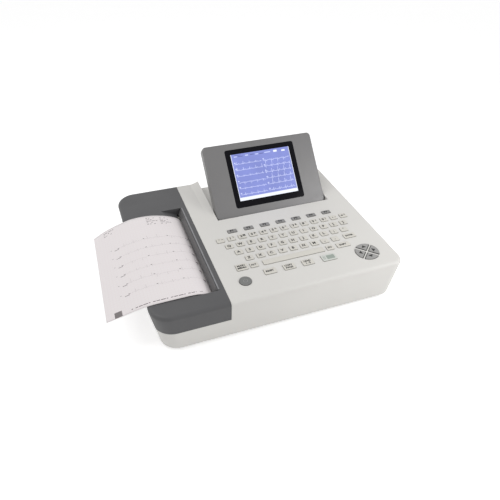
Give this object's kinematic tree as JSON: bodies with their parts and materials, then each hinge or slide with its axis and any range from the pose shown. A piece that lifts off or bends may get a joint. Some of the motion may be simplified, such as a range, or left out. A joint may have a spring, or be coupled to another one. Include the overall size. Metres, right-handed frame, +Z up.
{
  "type": "electrocardiograph machine",
  "caption": "Desktop electrocardiograph with sloping key deck, tilting screen and a pull-out paper printer at the left",
  "frame": {"origin": "on the table under the middle of the four feet", "axes": "+X to the operator's right, +Y away from the operator, +Z up"},
  "size_m": [0.4708, 0.3354, 0.1889],
  "materials": {
    "white_housing": "fine satin moulding",
    "printer_grey": "fine matt moulding",
    "display_grey": "fine matt moulding",
    "character_key": "pale silicone",
    "grey_key": "grey silicone",
    "green_key": "pale green silicone",
    "window": "black-bordered clear window",
    "lcd": "lit liquid crystal screen",
    "steel": "bright steel",
    "zinc_bracket": "zinc plated sheet",
    "head_aluminium": "anodised heat sink",
    "black_rubber": "soft black rubber",
    "gear_nylon": "natural nylon",
    "bronze_bush": "sintered bronze",
    "circuit_board": "solder-masked board",
    "battery_wrap": "shrink wrap",
    "motor_case": "plated motor can",
    "black_plastic": "black moulding",
    "thermal_paper": "coated thermal paper with a pale grid"
  },
  "bodies": {
    "housing": {"battery_cover": "white_housing", "battery_pack": "battery_wrap", "data_ports": "black_plastic", "display_hinge_pins": "steel", "earth_terminal": "bronze_bush", "feed_motor": "motor_case", "housing_screws": "steel", "keypad_board": "circuit_board", "lower_housing": "white_housing", "main_board": "circuit_board", "mains_inlet": "black_plastic", "motor_bracket": "zinc_bracket", "patient_socket": "black_plastic", "power_supply": "circuit_board", "print_head": "head_aluminium", "print_head_bracket": "zinc_bracket", "printer_rails": "steel", "rubber_feet": "black_rubber", "upper_housing": "white_housing"},
    "printer_cover": {"printer_cover": "printer_grey", "platen_bushes": "bronze_bush", "tear_bar": "steel", "paper_strip": "thermal_paper"},
    "platen": {"platen_shaft": "steel", "platen_roller": "black_rubber", "platen_gear": "gear_nylon"},
    "idler": {"idler_gear": "gear_nylon"},
    "pinion": {"motor_pinion": "steel"},
    "paper_roll": {"paper_roll": "thermal_paper", "paper_shaft": "gear_nylon"},
    "display": {"display_bezel": "display_grey", "display_rear_cover": "display_grey", "lcd_module": "lcd", "display_window": "window"},
    "case_key": {"case_key": "character_key"},
    "copy_key": {"copy_key": "character_key"},
    "digit_keys": {"digit_keys": "character_key"},
    "down_arrow_key": {"down_arrow_key": "grey_key"},
    "enter_key": {"enter_key": "character_key"},
    "home_letter_keys": {"home_letter_keys": "character_key"},
    "lead_key": {"lead_key": "character_key"},
    "left_arrow_key": {"left_arrow_key": "grey_key"},
    "lower_letter_keys": {"lower_letter_keys": "character_key"},
    "menu_key": {"menu_key": "character_key"},
    "mode_key": {"mode_key": "character_key"},
    "power_key": {"power_key": "grey_key"},
    "print_key": {"print_key": "green_key"},
    "reset_key": {"reset_key": "character_key"},
    "right_arrow_key": {"right_arrow_key": "grey_key"},
    "soft_key_1": {"soft_key_1": "grey_key"},
    "soft_key_2": {"soft_key_2": "grey_key"},
    "soft_key_3": {"soft_key_3": "grey_key"},
    "soft_key_4": {"soft_key_4": "grey_key"},
    "soft_key_5": {"soft_key_5": "grey_key"},
    "soft_key_6": {"soft_key_6": "grey_key"},
    "soft_key_7": {"soft_key_7": "grey_key"},
    "space_bar": {"space_bar": "character_key"},
    "symbol_key": {"symbol_key": "character_key"},
    "up_arrow_key": {"up_arrow_key": "grey_key"},
    "upper_letter_keys": {"upper_letter_keys": "character_key"}
  },
  "joints": [
    {"name": "cover_slide", "type": "slide", "parent": "housing", "child": "printer_cover", "axis": [-1, 0, 0], "range_m": [0, 0.08]},
    {"name": "display_tilt", "type": "hinge", "parent": "housing", "child": "display", "pos_m": [0.0632, 0.0466, 0.0878], "axis": [1, 0, 0], "range_deg": [-44.7, 20]},
    {"name": "platen_spin", "type": "hinge", "parent": "printer_cover", "child": "platen", "pos_m": [-0.108, -0.0167, 0.06327], "axis": [0, 0.997, 0.078], "continuous": true},
    {"name": "idler_spin", "type": "hinge", "parent": "housing", "child": "idler", "pos_m": [-0.09, 0.10094, 0.07248], "axis": [0, 0.997, 0.078], "continuous": true},
    {"name": "pinion_spin", "type": "hinge", "parent": "housing", "child": "pinion", "pos_m": [-0.0756, 0.10094, 0.07248], "axis": [0, 0.997, 0.078], "continuous": true},
    {"name": "paper_roll_spin", "type": "hinge", "parent": "housing", "child": "paper_roll", "pos_m": [-0.132, -0.0146, 0.03636], "axis": [0, 0.997, 0.078], "continuous": true},
    {"name": "case_key_press", "type": "slide", "parent": "housing", "child": "case_key", "axis": [0, 0.078, -0.997], "range_m": [0, 0.0008], "stiffness_N_per_m": 1500},
    {"name": "copy_key_press", "type": "slide", "parent": "housing", "child": "copy_key", "axis": [0, 0.078, -0.997], "range_m": [0, 0.0008], "stiffness_N_per_m": 1500},
    {"name": "digit_keys_press", "type": "slide", "parent": "housing", "child": "digit_keys", "axis": [0, 0.078, -0.997], "range_m": [0, 0.0008], "stiffness_N_per_m": 1500},
    {"name": "down_arrow_key_press", "type": "slide", "parent": "housing", "child": "down_arrow_key", "axis": [0, 0.078, -0.997], "range_m": [0, 0.0008], "stiffness_N_per_m": 1500},
    {"name": "enter_key_press", "type": "slide", "parent": "housing", "child": "enter_key", "axis": [0, 0.078, -0.997], "range_m": [0, 0.0008], "stiffness_N_per_m": 1500},
    {"name": "home_letter_keys_press", "type": "slide", "parent": "housing", "child": "home_letter_keys", "axis": [0, 0.078, -0.997], "range_m": [0, 0.0008], "stiffness_N_per_m": 1500},
    {"name": "lead_key_press", "type": "slide", "parent": "housing", "child": "lead_key", "axis": [0, 0.078, -0.997], "range_m": [0, 0.0008], "stiffness_N_per_m": 1500},
    {"name": "left_arrow_key_press", "type": "slide", "parent": "housing", "child": "left_arrow_key", "axis": [0, 0.078, -0.997], "range_m": [0, 0.0008], "stiffness_N_per_m": 1500},
    {"name": "lower_letter_keys_press", "type": "slide", "parent": "housing", "child": "lower_letter_keys", "axis": [0, 0.078, -0.997], "range_m": [0, 0.0008], "stiffness_N_per_m": 1500},
    {"name": "menu_key_press", "type": "slide", "parent": "housing", "child": "menu_key", "axis": [0, 0.078, -0.997], "range_m": [0, 0.0008], "stiffness_N_per_m": 1500},
    {"name": "mode_key_press", "type": "slide", "parent": "housing", "child": "mode_key", "axis": [0, 0.078, -0.997], "range_m": [0, 0.0008], "stiffness_N_per_m": 1500},
    {"name": "power_key_press", "type": "slide", "parent": "housing", "child": "power_key", "axis": [0, 0.078, -0.997], "range_m": [0, 0.0008], "stiffness_N_per_m": 1500},
    {"name": "print_key_press", "type": "slide", "parent": "housing", "child": "print_key", "axis": [0, 0.078, -0.997], "range_m": [0, 0.0008], "stiffness_N_per_m": 1500},
    {"name": "reset_key_press", "type": "slide", "parent": "housing", "child": "reset_key", "axis": [0, 0.078, -0.997], "range_m": [0, 0.0008], "stiffness_N_per_m": 1500},
    {"name": "right_arrow_key_press", "type": "slide", "parent": "housing", "child": "right_arrow_key", "axis": [0, 0.078, -0.997], "range_m": [0, 0.0008], "stiffness_N_per_m": 1500},
    {"name": "soft_key_1_press", "type": "slide", "parent": "housing", "child": "soft_key_1", "axis": [0, 0.078, -0.997], "range_m": [0, 0.0008], "stiffness_N_per_m": 1500},
    {"name": "soft_key_2_press", "type": "slide", "parent": "housing", "child": "soft_key_2", "axis": [0, 0.078, -0.997], "range_m": [0, 0.0008], "stiffness_N_per_m": 1500},
    {"name": "soft_key_3_press", "type": "slide", "parent": "housing", "child": "soft_key_3", "axis": [0, 0.078, -0.997], "range_m": [0, 0.0008], "stiffness_N_per_m": 1500},
    {"name": "soft_key_4_press", "type": "slide", "parent": "housing", "child": "soft_key_4", "axis": [0, 0.078, -0.997], "range_m": [0, 0.0008], "stiffness_N_per_m": 1500},
    {"name": "soft_key_5_press", "type": "slide", "parent": "housing", "child": "soft_key_5", "axis": [0, 0.078, -0.997], "range_m": [0, 0.0008], "stiffness_N_per_m": 1500},
    {"name": "soft_key_6_press", "type": "slide", "parent": "housing", "child": "soft_key_6", "axis": [0, 0.078, -0.997], "range_m": [0, 0.0008], "stiffness_N_per_m": 1500},
    {"name": "soft_key_7_press", "type": "slide", "parent": "housing", "child": "soft_key_7", "axis": [0, 0.078, -0.997], "range_m": [0, 0.0008], "stiffness_N_per_m": 1500},
    {"name": "space_bar_press", "type": "slide", "parent": "housing", "child": "space_bar", "axis": [0, 0.078, -0.997], "range_m": [0, 0.0008], "stiffness_N_per_m": 1500},
    {"name": "symbol_key_press", "type": "slide", "parent": "housing", "child": "symbol_key", "axis": [0, 0.078, -0.997], "range_m": [0, 0.0008], "stiffness_N_per_m": 1500},
    {"name": "up_arrow_key_press", "type": "slide", "parent": "housing", "child": "up_arrow_key", "axis": [0, 0.078, -0.997], "range_m": [0, 0.0008], "stiffness_N_per_m": 1500},
    {"name": "upper_letter_keys_press", "type": "slide", "parent": "housing", "child": "upper_letter_keys", "axis": [0, 0.078, -0.997], "range_m": [0, 0.0008], "stiffness_N_per_m": 1500}
  ],
  "couplings": [
    {"joint": "idler_spin", "follows": "platen_spin", "ratio": -0.66667},
    {"joint": "pinion_spin", "follows": "platen_spin", "ratio": 2}
  ]
}
